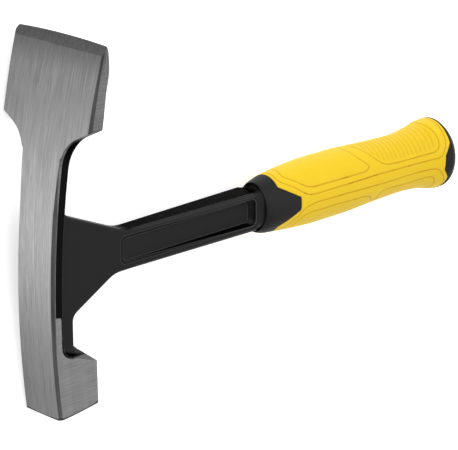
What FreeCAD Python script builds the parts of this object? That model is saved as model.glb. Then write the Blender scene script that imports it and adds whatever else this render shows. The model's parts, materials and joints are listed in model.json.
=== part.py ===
import FreeCAD, Part

import math
import os

from FreeCAD import Matrix, Placement, Rotation, Vector

# One-piece forged brick hammer, in millimetres.
#
# The hammer is drawn in a tool frame: +X along the handle from the crown of the head
# to the butt, +Y along the head towards the chisel blade, Z across the hammer.  X = 0
# is the crown face where the handle's axis meets it.  At the end everything is laid on
# its side, the way the hammer rests on a bench: on the lower corner of the blade, a
# corner of the striking face and the butt.

# ---- driving dimensions ----------------------------------------------------------------
OVERALL_LENGTH = 280.0        # crown to the end of the butt
CROWN_RADIUS = 432.0          # the long curve of the head, seen from the side
CROWN_VERTEX = (-0.4, -19.0)  # where that curve is square to the handle
TIP = (20.3, 108.15)          # cutting edge of the blade, in its middle
BEVEL_START = 103.4           # where the ground bevel of the blade begins
STRIKE_Y = -69.0              # middle of the striking face

RAIL_HALF_WIDTH = 12.8        # head body, across
RAIL_EDGE = 5.7               # depth of the rail's side
RAIL_ROOT = 1.8               # the rail is this much deeper beside the web
RAIL_CHAMFER = 1.5            # bevel along the crown's long edges
WEB_HALF = 5.0                # cheek web, half its thickness
WEB_EDGE = 1.3                # rounding of its outer edges
WEB_INNER = 18.6              # its lower edge beside the poll
WEB_TOP = (19.7, 23.1, -0.424)   # a point of its upper edge, and that edge's slope
WEB_LOW = (20.7, -22.9, 0.551)   # the same for its lower edge
WEB_TOP_RADIUS = 15.0         # its upper corner against the rail
WEB_FILLET = 4.0              # between the rail and the web
WEB_SHANK_RADII = (20.0, 15.0)   # where its upper and lower edges run into the shank
WEB_INNER_RADIUS = 5.0        # the corners of its edge beside the poll
WEB_CORNER_X = 8.5            # its upper edge meets the rail here
WEB_SHOULDER_Y = -38.0        # its rounded edges stop above the poll's shoulder
RAIL_TOP = (45.0, 62.0)       # the rail's back is straight between these heights, inside the blade

BLADE_HALF_WIDTH = 30.3
BLADE_HEEL_Y = 70.4           # lower corner of the wide blade
BLADE_CORNER = 5.0            # rounding of the blade's tip corners
BLADE_HEEL_RADIUS = 0.8       # rounding of its lower corners
BLADE_FOOT_Y = 46.0           # the blade's stock grows out of the rail here
BLADE_BOW = 450.0             # the cutting edge bows out at this radius
BLADE_LAND = (0.15, 0.3)      # the blunt land of the cutting edge
BLADE_NOSE = (20.65, 102.6)   # the underside turns in to the edge here
# The blade's underside: depth below the crown face at each height.
BLADE_UNDER = ((96.8, 5.35), (88.0, 5.95), (76.0, 6.9), (66.0, 7.0), (50.0, 5.8))
NECK_RADIUS = 16.5            # concave neck between the blade and the body
NECK_SLOPE = 27.0             # fall of the blade's lower edge, degrees
CHAMFER_BODY_END = 30.0       # the crown's bevel is whole up to here
CHAMFER_NECK_END = 56.0       # and fades out by here
CHAMFER_BLADE = (68.0, 110.0)   # its stretch along the blade
CHAMFER_TIP = 0.6             # its size at the cutting edge

POLL_DEPTH = 24.4             # crown to the inner side of the poll
POLL_INNER = 25.4             # place of that inner side
SHOULDER_RADIUS = 8.0         # between the shoulder and the rail
SHOULDER_BLEND = 3.5          # between the shoulder and the web
SHOULDER_Y = -45.1            # top of the poll at its inner corner
SHOULDER_SLOPE = 19.5         # climb of the shoulder towards the crown, degrees
SHOULDER_CROWN = 8.2          # climb of the shoulder towards the web, degrees
SHOULDER_EDGE = 0.6           # rounding of the shoulder's inner corner
POLL_EDGE = 0.5               # rounding of the poll's outer edges
POLL_TOP = -22.0              # the poll grows out of the rail here
POLL_FLARE = 0.4              # its inner side leans out by this towards the face
FACE_CROWN = 87.0             # radius of the slightly domed striking face
FACE_FLAT = 4.0               # radius of the flat in its middle
FACE_BEVEL = 0.7              # bevel round its rim

SHANK_HALF_HEIGHT = 9.8
SHANK_START = 56.0            # where the cheek has narrowed to the shank
SHANK_HALF_THICK = (5.0, 7.5)   # at its start and where its flare starts
SHANK_EDGE = (1.3, 1.9)       # rounding of its long edges, at the same places
FLARE_X = (134.6, 139.6)      # the shank swells to an oval that fills the collar's mouth
FLARE_HALF_HEIGHT = 11.5
FLARE_HALF_THICK = 8.3
FLARE_END = 143.0             # the oval ends inside the collar
FLARE_STEPS = 6

RECESS_X = (48.2, 133.9)      # sunk panel in each side of the shank
RECESS_Y = (-6.4, 7.1)
RECESS_FLOOR = 4.3            # distance of its floor from the middle plane
RECESS_CORNER = 2.6
RECESS_DRAFT = 0.45           # slope of its walls, sideways per depth
RECESS_RUNOUT = 2.8           # length of the sloped wall next to the collar

TANG_END = 262.0
TANG_HALF = (8.0, 6.0)        # half height at the collar and at the end
TANG_HALF_THICK = 3.0
TANG_EDGE = 1.0
TANG_HOLE = 8.0
TANG_HOLES = (172.0, 206.0, 240.0)

COLLAR_X = 139.0              # front of the grip
COLLAR_SEAM = 147.5           # where the yellow sleeve begins
COLLAR_TONGUE = (160.0, 3.3)  # tip of the black tongue and half its height
COLLAR_TONGUE_ROOT = 10.2     # half the tongue's height at the seam
BUTT_SEAM = 269.8             # where the yellow sleeve ends
BUTT_TONGUE = (265.5, -5.5, 2.5)   # tip of the butt's tongue, its lower and upper side
BUTT_TONGUE_ROOT = (-10.8, 8.5)    # the same at the seam
SLEEVE_WALL = 3.0

# Grip, from front to back: place, how far it reaches above and below the handle's axis,
# and half its width.
GRIP_STATIONS = (
    (COLLAR_X, 12.4, 12.8, 9.5),
    (140.0, 12.8, 13.3, 10.2),
    (142.5, 13.4, 14.1, 11.3),
    (148.0, 14.7, 14.7, 12.4),
    (160.0, 16.0, 15.8, 13.4),
    (178.0, 17.1, 16.7, 14.2),
    (197.0, 17.1, 16.7, 14.2),
    (220.0, 16.1, 15.8, 13.4),
    (241.0, 15.4, 15.3, 12.9),
    (256.0, 16.9, 16.3, 13.9),
    (266.0, 18.8, 18.6, 15.7),
    (270.0, 18.9, 19.2, 16.0),
    (273.0, 16.9, 19.1, 15.1),
    (276.0, 14.0, 16.2, 12.7),
    (278.3, 11.3, 13.2, 10.3),
    (279.6, 8.4, 10.2, 7.8),
    (OVERALL_LENGTH, 4.4, 6.0, 4.4),
)

# Where the hammer touches the bench, from the heel's and the poll's corners, and on the butt.
HEEL_CONTACT = (7.0, 0.5)
POLL_CONTACT = 2.8
BUTT_CONTACT = Vector(269.5, -2.2, -15.93)

BIG = 400.0                   # larger than the hammer, for cutting
SPARE = 1.0                   # stock that a later cut takes off
HEAD_SWEEP = 12.0             # degrees of the crown's curve that hold the head, each way
HEAD_REACH = 70.0             # depth of the head's blank
UP = Vector(0, 0, 1)


# ---- helpers -----------------------------------------------------------------------------
def crown_x(y):
    """Place of the crown face at height y."""
    x0, y0 = CROWN_VERTEX
    return x0 + CROWN_RADIUS - math.sqrt(CROWN_RADIUS ** 2 - (y - y0) ** 2)


def crown_slope(y):
    """How fast the crown face leans back at height y."""
    x0, y0 = CROWN_VERTEX
    return (y - y0) / math.sqrt(CROWN_RADIUS ** 2 - (y - y0) ** 2)


def between(ends, share):
    """The value a share of the way from one end to the other."""
    return ends[0] + (ends[1] - ends[0]) * share


def line(a, b):
    return Part.LineSegment(a, b).toShape()


def arc(a, middle, b):
    return Part.Arc(a, middle, b).toShape()


def polygon(points):
    return Part.Face(Part.makePolygon([Vector(*p) for p in points + points[:1]]))


def across(face, half):
    """A face in the side view, stretched to both sides of the middle plane."""
    face.translate(Vector(0, 0, -half))
    return face.extrude(Vector(0, 0, 2 * half))


def mirrored(shape):
    return shape.mirror(Vector(0, 0, 0), UP)


# ---- head --------------------------------------------------------------------------------
def body_blank():
    """Rail and web: a T section turned about the centre of the crown's curve."""
    half, edge, web, r = RAIL_HALF_WIDTH, RAIL_EDGE, WEB_HALF, WEB_FILLET
    x0, y0 = CROWN_VERTEX
    root = edge + RAIL_ROOT
    depth = HEAD_REACH

    def at(x, z):
        return Vector(x0 + x, y0, z)

    bend = math.sqrt(0.5)
    upper_arc = arc(at(root, web + r), at(root + r * (1 - bend), web + r * (1 - bend)), at(root + r, web))
    wire = Part.Wire([
        line(at(0, 0), at(0, half)),
        line(at(0, half), at(edge, half)),
        line(at(edge, half), at(root, web + r)),
        upper_arc.Edges[0],
        line(at(root + r, web), at(depth, web)),
        line(at(depth, web), at(depth, 0)),
        line(at(depth, 0), at(0, 0)),
    ])
    axis = Vector(x0 + CROWN_RADIUS, y0, 0)
    start = Part.Face(wire).rotate(axis, UP, HEAD_SWEEP)
    side = start.revolve(axis, UP, -2 * HEAD_SWEEP)
    return side.fuse(mirrored(side)).removeSplitter()


def shoulder_y(x, z):
    """Top of the poll: it climbs towards the crown and towards the web."""
    climb = math.tan(math.radians(SHOULDER_SLOPE))
    tilt = math.tan(math.radians(SHOULDER_CROWN))
    return SHOULDER_Y + climb * (POLL_INNER - x) + tilt * (RAIL_HALF_WIDTH - z)


def strike_point(x):
    """A point of the striking face's plane, which is square to the crown there."""
    middle = crown_x(STRIKE_Y) + POLL_DEPTH / 2
    return Vector(x, STRIKE_Y - crown_slope(STRIKE_Y) * (x - middle), 0)


def rounded_outline(points):
    """A closed outline through points, each with its own corner radius (0 is sharp)."""
    starts, ends, bends = [], [], []
    for i, (p, radius) in enumerate(points):
        before = (points[i - 1][0] - p).normalize()
        after = (points[(i + 1) % len(points)][0] - p).normalize()
        half = before.getAngle(after) / 2
        back = radius / math.tan(half)
        centre = p + (before + after).normalize() * (radius / math.sin(half)) if radius else p
        starts.append(p + before * back)
        ends.append(p + after * back)
        bends.append(centre + (p - centre).normalize() * radius if radius else None)
    edges = []
    for i, bend in enumerate(bends):
        if bend is not None:
            edges.append(arc(starts[i], bend, ends[i]))
        edges.append(line(ends[i], starts[(i + 1) % len(points)]))
    return Part.Face(Part.Wire(Part.__sortEdges__(edges)))


def cheek_outline():
    """Side view of the rail, the web and the start of the shank, as straight runs."""
    h = SHANK_HALF_HEIGHT
    root = RAIL_EDGE + RAIL_ROOT
    top_x, top_y, top_slope = WEB_TOP
    low_x, low_y, low_slope = WEB_LOW
    corner = WEB_CORNER_X
    back, neck = RAIL_TOP
    upper_bend, lower_bend = WEB_SHANK_RADII
    end = SHANK_START + 2 * SPARE
    front = -5 * SPARE
    inside = POLL_INNER - 3 * SPARE
    low = STRIKE_Y + 4 * SPARE
    points = [
        (Vector(front, neck, 0), 0),
        (Vector(crown_x(neck) + RAIL_EDGE - SPARE, neck, 0), 0),
        (Vector(crown_x(back) + root, back, 0), 0),
        (Vector(corner, top_y + top_slope * (corner - top_x), 0), WEB_TOP_RADIUS),
        (Vector(top_x + (h - top_y) / top_slope, h, 0), upper_bend),
        (Vector(end, h, 0), 0),
        (Vector(end, -h, 0), 0),
        (Vector(low_x + (-h - low_y) / low_slope, -h, 0), lower_bend),
        (Vector(WEB_INNER, low_y + low_slope * (WEB_INNER - low_x), 0), WEB_INNER_RADIUS),
        (Vector(WEB_INNER, shoulder_y(WEB_INNER, WEB_HALF), 0), WEB_INNER_RADIUS),
        (Vector(inside, shoulder_y(inside, WEB_HALF), 0), 0),
        (Vector(inside, low, 0), 0),
        (Vector(front, low, 0), 0),
    ]
    return rounded_outline(points)


def cheek():
    """Rail and web, with the web's outer edges rounded."""
    solid = body_blank().common(across(cheek_outline(), BIG / 4))
    clear_of_rail = RAIL_EDGE + RAIL_ROOT + WEB_FILLET + SPARE
    end = SHANK_START + 2 * SPARE

    def outer(edge):
        box = edge.BoundBox
        flat = box.ZLength < 0.01 and abs(abs(box.Center.z) - WEB_HALF) < 0.01
        along = box.XMin > clear_of_rail and box.XMax < end - 0.1
        return flat and along and box.Center.y > WEB_SHOULDER_Y

    return solid.makeFillet(WEB_EDGE, [e for e in solid.Edges if outer(e)])


def poll_half():
    """One half of the poll, from the middle plane to its side, with stock to spare at its end."""
    top = POLL_TOP
    front = -4 * SPARE
    spare = Vector(0, -SPARE, 0)
    wires = []
    for z in (0.0, RAIL_HALF_WIDTH):
        root = crown_x(top) + RAIL_EDGE
        corners = [
            (Vector(root, top, z), 0),
            (Vector(RAIL_EDGE, shoulder_y(RAIL_EDGE, z), z), SHOULDER_RADIUS),
            (Vector(POLL_INNER, shoulder_y(POLL_INNER, z), z), SHOULDER_EDGE),
            (strike_point(POLL_INNER + POLL_FLARE) + spare + Vector(0, 0, z), 0),
            (strike_point(front) + spare + Vector(0, 0, z), 0),
            (Vector(front, top, z), 0),
        ]
        wires.append(rounded_outline(corners).OuterWire)
    return Part.makeLoft(wires, True, True)


def poll():
    """The poll, with its crown face on the head's long curve and its face bevelled."""
    half = poll_half()
    solid = half.fuse(mirrored(half)).removeSplitter()

    def outer(edge):
        box = edge.BoundBox
        on_side = box.ZLength < 0.01 and abs(abs(box.Center.z) - RAIL_HALF_WIDTH) < 0.01
        return on_side and box.XMin > RAIL_EDGE + 4.0

    solid = solid.makeFillet(POLL_EDGE, [e for e in solid.Edges if outer(e)])
    x0, y0 = CROWN_VERTEX
    centre = Vector(x0 + CROWN_RADIUS, y0, -BIG / 2)
    solid = solid.common(Part.makeCylinder(CROWN_RADIUS, BIG, centre, UP))
    return face_crown(solid)


def blade_side():
    """The blade from the side: crown face, ground bevel, blunt land and convex underside."""
    tip = Vector(TIP[0], TIP[1], 0)
    land = tip + Vector(BLADE_LAND[0], -BLADE_LAND[1], 0)
    bevel = Vector(crown_x(BEVEL_START), BEVEL_START, 0)
    foot = Vector(crown_x(BLADE_FOOT_Y), BLADE_FOOT_Y, 0)
    middle = (BLADE_FOOT_Y + BEVEL_START) / 2
    under = [land, Vector(BLADE_NOSE[0], BLADE_NOSE[1], 0)]
    under += [Vector(crown_x(y) + depth, y, 0) for y, depth in BLADE_UNDER]
    under.append(foot + Vector(RAIL_EDGE, 0, 0))
    underside = Part.BSplineCurve()
    underside.interpolate(under)
    return Part.Face(Part.Wire([
        arc(foot, Vector(crown_x(middle), middle, 0), bevel),
        line(bevel, tip),
        line(tip, land),
        underside.toShape(),
        line(under[-1], foot),
    ]))


def blade_front():
    """The blade from the front, drawn with its height along X and its width along Y."""
    b, w = BLADE_HALF_WIDTH, RAIL_HALF_WIDTH
    low = BLADE_FOOT_Y - 2 * SPARE
    top = TIP[1] + SPARE
    corner = BLADE_HEEL_Y - (b - w) * math.tan(math.radians(NECK_SLOPE))
    right = [
        (Vector(low, w, 0), 0),
        (Vector(corner, w, 0), NECK_RADIUS),
        (Vector(BLADE_HEEL_Y, b, 0), BLADE_HEEL_RADIUS),
        (Vector(top, b, 0), BLADE_CORNER),
    ]
    left = [(Vector(p.x, -p.y, 0), radius) for p, radius in reversed(right)]
    bow = Part.Face(Part.Wire(Part.Circle(Vector(TIP[1] - BLADE_BOW, 0, 0), UP, BLADE_BOW).toShape()))
    return rounded_outline(right + left).common(bow).Faces[0]


def blade():
    """The wide chisel blade: its side outline and its front outline, crossed."""
    depth = HEAD_REACH
    before_crown = -20 * SPARE
    front = blade_front().extrude(Vector(0, 0, depth))
    # Turn the front outline upright: its X becomes Y, its Y becomes Z, its Z becomes X.
    front.Placement = Placement(Matrix(0, 0, 1, before_crown, 1, 0, 0, 0, 0, 1, 0, 0, 0, 0, 0, 1))
    return across(blade_side(), BLADE_HALF_WIDTH + SPARE).common(front)


def chamfer_wedge(heights, half, sizes):
    """A sliver that bevels one long edge of the crown, growing or fading along it."""
    sections = []
    steps = 6
    out = SPARE
    for i in range(steps + 1):
        y = between(heights, i / steps)
        size = between(sizes, i / steps)
        x = crown_x(y)
        inner = Vector(x - out, y, half - size - out)
        outer = Vector(x + size + out, y, half + out)
        sections.append(Part.makePolygon([inner, outer, Vector(x - out, y, half + out), inner]))
    return Part.makeLoft(sections, True, False)


def strike_frame():
    """The striking face's own frame: its middle, with Y into the steel along the head."""
    lean = math.degrees(math.atan(crown_slope(STRIKE_Y)))
    return Placement(Vector(crown_x(STRIKE_Y) + POLL_DEPTH / 2, STRIKE_Y, 0), Rotation(UP, -lean))


def face_crown(solid):
    """Dome the striking face round a small flat, and bevel its rim."""
    reach = POLL_DEPTH
    sag = FACE_FLAT ** 2 / (2 * FACE_CROWN)
    centre = Vector(0, FACE_CROWN - sag, 0)
    edge_y = centre.y - math.sqrt(FACE_CROWN ** 2 - reach ** 2)
    half = reach / 2
    mid_y = centre.y - math.sqrt(FACE_CROWN ** 2 - half ** 2)
    flat_end = Vector(FACE_FLAT, 0, 0)
    profile = Part.Face(Part.Wire([
        line(Vector(0, 0, 0), flat_end),
        arc(flat_end, Vector(half, mid_y, 0), Vector(reach, edge_y, 0)),
        line(Vector(reach, edge_y, 0), Vector(reach, BIG, 0)),
        line(Vector(reach, BIG, 0), Vector(0, BIG, 0)),
        line(Vector(0, BIG, 0), Vector(0, 0, 0)),
    ]))
    keep = profile.revolve(Vector(0, 0, 0), Vector(0, 1, 0), 360.0)
    keep.Placement = strike_frame()
    return solid.common(keep).common(rim_bevel())


def rim_bevel():
    """A four-sided taper that leaves a narrow bevel round the striking face."""
    half_x, half_z = POLL_DEPTH / 2, RAIL_HALF_WIDTH
    sag = half_x ** 2 / (2 * FACE_CROWN)
    back = 8.0

    def ring(y, out):
        a, b = half_x + out, half_z + out
        corners = [(-a, -b), (a, -b), (a, b), (-a, b)]
        return Part.makePolygon([Vector(x, y, z) for x, z in corners + corners[:1]])

    rings = [ring(sag - back, -FACE_BEVEL - back), ring(sag + back, back - FACE_BEVEL)]
    taper = Part.makeLoft(rings, True, True)
    rest = Part.makeBox(BIG, BIG, BIG, Vector(-BIG / 2, sag + back, -BIG / 2))
    taper = taper.fuse(rest)
    taper.Placement = strike_frame()
    return taper


# ---- shank and tang ------------------------------------------------------------------------
def section(x, height, thick, edge):
    """A rounded rectangle across the handle; height and thick are its halves."""
    corners = [(height, thick), (-height, thick), (-height, -thick), (height, -thick)]
    return rounded_outline([(Vector(x, y, z), edge) for y, z in corners]).OuterWire


def shank():
    """A tapered bar that swells to an oval where it enters the collar."""
    h = SHANK_HALF_HEIGHT
    sections = [section(SHANK_START, h, SHANK_HALF_THICK[0], SHANK_EDGE[0])]
    round_edge = FLARE_HALF_THICK - 0.1
    for i in range(FLARE_STEPS + 1):
        t = i / FLARE_STEPS
        height = between((h, FLARE_HALF_HEIGHT), t * t)
        thick = between((SHANK_HALF_THICK[1], FLARE_HALF_THICK), t * t)
        edge = between((SHANK_EDGE[1], round_edge), t ** 0.7)
        sections.append(section(between(FLARE_X, t), height, thick, min(edge, thick - 0.1)))
    sections.append(section(FLARE_END, FLARE_HALF_HEIGHT, FLARE_HALF_THICK, round_edge))
    return Part.makeLoft(sections, True, True)


def recess_tool():
    """The sunk panel: rounded corners, drafted walls, a long sloped end by the collar."""
    x0, x1 = RECESS_X
    y0, y1 = RECESS_Y
    rim = SHANK_HALF_THICK[1]
    top = rim + 2 * SPARE
    rings = []
    for z in (RECESS_FLOOR, top):
        out = (z - rim) * RECESS_DRAFT
        run = (z - rim) / (rim - RECESS_FLOOR) * RECESS_RUNOUT
        corners = [(x0 - out, y0 - out), (x1 + run, y0 - out), (x1 + run, y1 + out), (x0 - out, y1 + out)]
        face = rounded_outline([(Vector(x, y, z), RECESS_CORNER) for x, y in corners])
        rings.append(face.OuterWire)
    return Part.makeLoft(rings, True, True)


def tang():
    high, low = TANG_HALF
    t = TANG_HALF_THICK
    ends = [section(FLARE_END - SPARE, high, t, TANG_EDGE), section(TANG_END, low, t, TANG_EDGE)]
    solid = Part.makeLoft(ends, True, True)
    for x in TANG_HOLES:
        solid = solid.cut(Part.makeCylinder(TANG_HOLE / 2, 4 * t, Vector(x, 0, -2 * t), UP))
    return solid


def shoulder_fillet():
    """Concave blend between one side of the web and the shoulder of the poll."""
    bend = 1 - math.sqrt(0.5)
    root = RAIL_EDGE + RAIL_ROOT
    overlap = 0.6
    thin = 0.4
    sections = []
    for x, r in ((root, SHOULDER_BLEND), (WEB_INNER - 1, SHOULDER_BLEND), (WEB_INNER + 4, thin)):
        foot = Vector(x, shoulder_y(x, WEB_HALF), WEB_HALF)
        out = Vector(x, shoulder_y(x, WEB_HALF + r), WEB_HALF + r)
        top = foot + Vector(0, r, 0)
        mid = foot + (out - foot) * bend + (top - foot) * bend
        deep = foot + Vector(0, -overlap, -overlap)
        sections.append(Part.Wire([arc(top, mid, out), line(out, deep), line(deep, top)]))
    return Part.makeLoft(sections, True, True)


def forged_hammer():
    """Head, shank and hidden tang: one forging."""
    blend = shoulder_fillet()
    solid = cheek().fuse([poll(), blade(), shank(), blend, mirrored(blend)]).removeSplitter()
    below_face = STRIKE_Y - 6 * SPARE
    cuts = [
        recess_tool(),
        chamfer_wedge((below_face, CHAMFER_BODY_END), RAIL_HALF_WIDTH, (RAIL_CHAMFER, RAIL_CHAMFER)),
        chamfer_wedge((CHAMFER_BODY_END, CHAMFER_NECK_END), RAIL_HALF_WIDTH, (RAIL_CHAMFER, 0.0)),
        chamfer_wedge(CHAMFER_BLADE, BLADE_HALF_WIDTH, (RAIL_CHAMFER, CHAMFER_TIP)),
    ]
    for cut in cuts:
        solid = solid.cut(cut).cut(mirrored(cut))
    return solid.fuse(tang()).removeSplitter()


# ---- grip --------------------------------------------------------------------------------
def grip_body(inset):
    """The grip's oval body, drawn in by inset from its outside."""
    wires = []
    for x, above, below, width in GRIP_STATIONS:
        centre = Vector(x, (above - below) / 2, 0)
        tall = Vector(0, (above + below) / 2 - inset, 0)
        wide = Vector(0, 0, width - inset)
        oval = Part.Ellipse(centre + tall, centre + wide, centre)
        wires.append(Part.Wire(oval.toShape()))
    return Part.makeLoft(wires, True, False)


def dark_ends():
    """Where the black core shows: the collar with its tongue, and the butt with its own."""
    far = 30.0
    wide = 40.0
    tip, half = COLLAR_TONGUE
    root = COLLAR_TONGUE_ROOT
    seam = COLLAR_SEAM
    front = polygon([
        (seam - far, -wide, 0), (seam, -wide, 0), (seam, -root, 0), (tip, -half, 0),
        (tip, half, 0), (seam, root, 0), (seam, wide, 0), (seam - far, wide, 0)])
    seam = BUTT_SEAM
    tip, low, high = BUTT_TONGUE
    root_low, root_high = BUTT_TONGUE_ROOT
    back = polygon([
        (seam + far, -wide, 0), (seam, -wide, 0), (seam, root_low, 0), (tip, low, 0),
        (tip, high, 0), (seam, root_high, 0), (seam, wide, 0), (seam + far, wide, 0)])
    return across(front, BIG / 4), across(back, BIG / 4)


def grip_parts(forging):
    """The black core, hollowed for the tang, and the yellow sleeve round it."""
    whole = grip_body(0.0)
    front, back = dark_ends()
    sleeve = whole.cut(front.fuse(back)).cut(grip_body(SLEEVE_WALL))
    return whole.cut(sleeve).cut(forging), sleeve


# ---- laying the hammer on its side ---------------------------------------------------------
def resting_place():
    """Turn the hammer until the blade's heel, the poll and the butt touch the bench."""
    heel = Vector(crown_x(BLADE_HEEL_Y) + HEEL_CONTACT[0], BLADE_HEEL_Y + HEEL_CONTACT[1], -BLADE_HALF_WIDTH)
    poll = Vector(POLL_INNER, STRIKE_Y + POLL_CONTACT, -RAIL_HALF_WIDTH)
    normal = (poll - heel).cross(BUTT_CONTACT - heel).normalize()
    if normal.z < 0:
        normal = normal * -1
    return Placement(Vector(0, 0, 0), Rotation(normal, UP))


def main():
    os.makedirs("parts", exist_ok=True)
    forging = forged_hammer()
    core, sleeve = grip_parts(forging)
    parts = {"forged_hammer": forging, "grip_core": core, "grip_sleeve": sleeve}
    turn = resting_place()
    for shape in parts.values():
        shape.Placement = turn.multiply(shape.Placement)
    whole = Part.Compound(list(parts.values())).optimalBoundingBox()
    shift = Vector(-(whole.XMin + whole.XMax) / 2, -(whole.YMin + whole.YMax) / 2, -whole.ZMin)
    for name, shape in parts.items():
        shape.translate(shift)
        shape.exportStep("parts/" + name + ".step")
        volume = round(shape.Volume / 1000, 2)
        print(name, volume, "cm3, valid", shape.isValid(), "solids", len(shape.Solids))


main()
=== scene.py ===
"""A one-piece brick hammer lying on its side: brushed and lacquered steel, a black and yellow grip."""

import json
import math

import bpy
import numpy as np
from mathutils import Matrix, Vector


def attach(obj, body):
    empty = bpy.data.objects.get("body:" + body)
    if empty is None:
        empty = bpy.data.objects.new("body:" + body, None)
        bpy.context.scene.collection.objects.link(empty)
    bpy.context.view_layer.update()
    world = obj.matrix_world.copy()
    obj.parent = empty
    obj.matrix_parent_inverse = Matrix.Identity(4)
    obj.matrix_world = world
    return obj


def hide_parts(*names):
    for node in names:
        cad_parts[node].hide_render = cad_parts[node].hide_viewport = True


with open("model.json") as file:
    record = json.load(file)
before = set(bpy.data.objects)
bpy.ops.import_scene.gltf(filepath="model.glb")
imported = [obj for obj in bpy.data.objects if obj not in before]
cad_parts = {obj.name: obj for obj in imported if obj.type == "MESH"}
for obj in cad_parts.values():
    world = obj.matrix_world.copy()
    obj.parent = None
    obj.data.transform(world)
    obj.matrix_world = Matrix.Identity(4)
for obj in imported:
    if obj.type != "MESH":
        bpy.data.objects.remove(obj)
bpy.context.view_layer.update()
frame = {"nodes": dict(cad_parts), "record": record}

MM = 0.001

# ---- the tool frame ----------------------------------------------------------------------
# X runs along the handle from the crown of the head, Y along the head towards the blade,
# Z across the hammer.  The record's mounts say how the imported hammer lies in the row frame.
GRIP_MOUNT = (208.0, 0.6)     # where the grip mount sits in the tool frame, mm

mounts = {mount["name"]: mount for mount in frame["record"]["mounts"]}
along = Vector(mounts["grip"]["axis"]).normalized()
side = along.cross(-Vector(mounts["striking_face"]["axis"])).normalized()
up = side.cross(along)
tool_origin = Vector(mounts["grip"]["pos_m"]) - (along * GRIP_MOUNT[0] + up * GRIP_MOUNT[1]) * MM
tool_turn = Matrix((along, up, side)).transposed()


def place(x, y, z):
    """A point of the tool frame, in millimetres, as a point of the scene."""
    return tool_origin + tool_turn @ (Vector((x, y, z)) * MM)


def place_all(points):
    """The same for an array of points."""
    turn = np.array(tool_turn)
    return np.array(tool_origin) + (np.asarray(points) * MM) @ turn.T


# ---- sizes of the grip, in millimetres ---------------------------------------------------
COLLAR_SEAM = 147.5           # where the yellow sleeve begins
COLLAR_TIP = 159.8            # tip of the collar's black tongue
COLLAR_TONGUE = (3.3, 10.2)   # half its height at the tip and at the seam
BUTT_SEAM = 269.8
BUTT_TIP = 265.5
BUTT_TONGUE_TOP = (2.5, 8.5)       # upper side of the butt's tongue: at its tip, at the seam
BUTT_TONGUE_LOW = (-5.5, -10.8)    # lower side
SLEEVE_WALL = 2.2
SEAM_STEP = 0.9               # where the two rubbers meet, a step goes this deep
COVER_GAP = 0.12              # the core stays this far inside the sleeve
EDGE_ROUNDS = 40              # rounds after which an edge's place has settled

# Place along the handle, how far the grip reaches above and below the handle's axis, and
# half its width.
PROFILE = np.array([
    (139.0, 12.4, 12.8, 9.5), (140.0, 12.8, 13.3, 10.2), (142.5, 13.4, 14.1, 11.3),
    (148.0, 14.7, 14.7, 12.4), (160.0, 16.0, 15.8, 13.4), (178.0, 17.1, 16.7, 14.2),
    (197.0, 17.1, 16.7, 14.2), (220.0, 16.1, 15.8, 13.4), (241.0, 15.4, 15.3, 12.9),
    (256.0, 16.9, 16.3, 13.9), (266.0, 18.8, 18.6, 15.7), (270.0, 18.9, 19.2, 16.0),
    (273.0, 16.9, 19.1, 15.1), (276.0, 14.0, 16.2, 12.7), (278.3, 11.3, 13.2, 10.3),
    (279.6, 8.4, 10.2, 7.8), (280.0, 4.4, 6.0, 4.4),
])


def smooth_curve(xs, ys, x):
    """A smooth curve through points, without overshoot (a monotone cubic)."""
    step = np.diff(xs)
    slope = np.diff(ys) / step
    tangent = np.zeros_like(ys)
    same = slope[:-1] * slope[1:] > 0
    w1 = 2 * step[1:] + step[:-1]
    w2 = step[1:] + 2 * step[:-1]
    with np.errstate(divide="ignore", invalid="ignore"):
        inner = (w1 + w2) / (w1 / slope[:-1] + w2 / slope[1:])
    tangent[1:-1] = np.where(same, inner, 0.0)
    tangent[0], tangent[-1] = slope[0], slope[-1]
    i = np.clip(np.searchsorted(xs, x) - 1, 0, len(xs) - 2)
    t = (x - xs[i]) / step[i]
    return ((1 + 2 * t) * (1 - t) ** 2 * ys[i] + t * (1 - t) ** 2 * step[i] * tangent[i]
            + t * t * (3 - 2 * t) * ys[i + 1] + t * t * (t - 1) * step[i] * tangent[i + 1])


def grip_section(x):
    """Half height, centre height and half width of the grip at x."""
    above, below, width = (smooth_curve(PROFILE[:, 0], PROFILE[:, k], x) for k in (1, 2, 3))
    return (above + below) / 2, (above - below) / 2, width


def grip_point(x, turn, rise):
    """Points on the grip; turn is the angle from its top, rise is outward."""
    half, centre, width = grip_section(x)
    y = centre + (half + rise) * np.cos(turn)
    z = (width + rise) * np.sin(turn)
    return np.stack([x, y, z], axis=-1)


def front_edge(y):
    """Front edge of the yellow sleeve at height y."""
    tip, root = COLLAR_TONGUE
    return np.interp(np.abs(y), [tip, root], [COLLAR_TIP, COLLAR_SEAM])


def back_edge(y):
    """Back edge of the yellow sleeve at height y."""
    heights = [BUTT_TONGUE_LOW[1], BUTT_TONGUE_LOW[0], BUTT_TONGUE_TOP[0], BUTT_TONGUE_TOP[1]]
    return np.interp(y, heights, [BUTT_SEAM, BUTT_TIP, BUTT_TIP, BUTT_SEAM])


def edge_places(edge, start, turns):
    """Where an edge given by height crosses each turn of the grip, found step by step."""
    x = np.full_like(turns, start)
    for _ in range(EDGE_ROUNDS):
        half, centre, _ = grip_section(x)
        x = (x + edge(centre + half * np.cos(turns))) / 2
    return x


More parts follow.
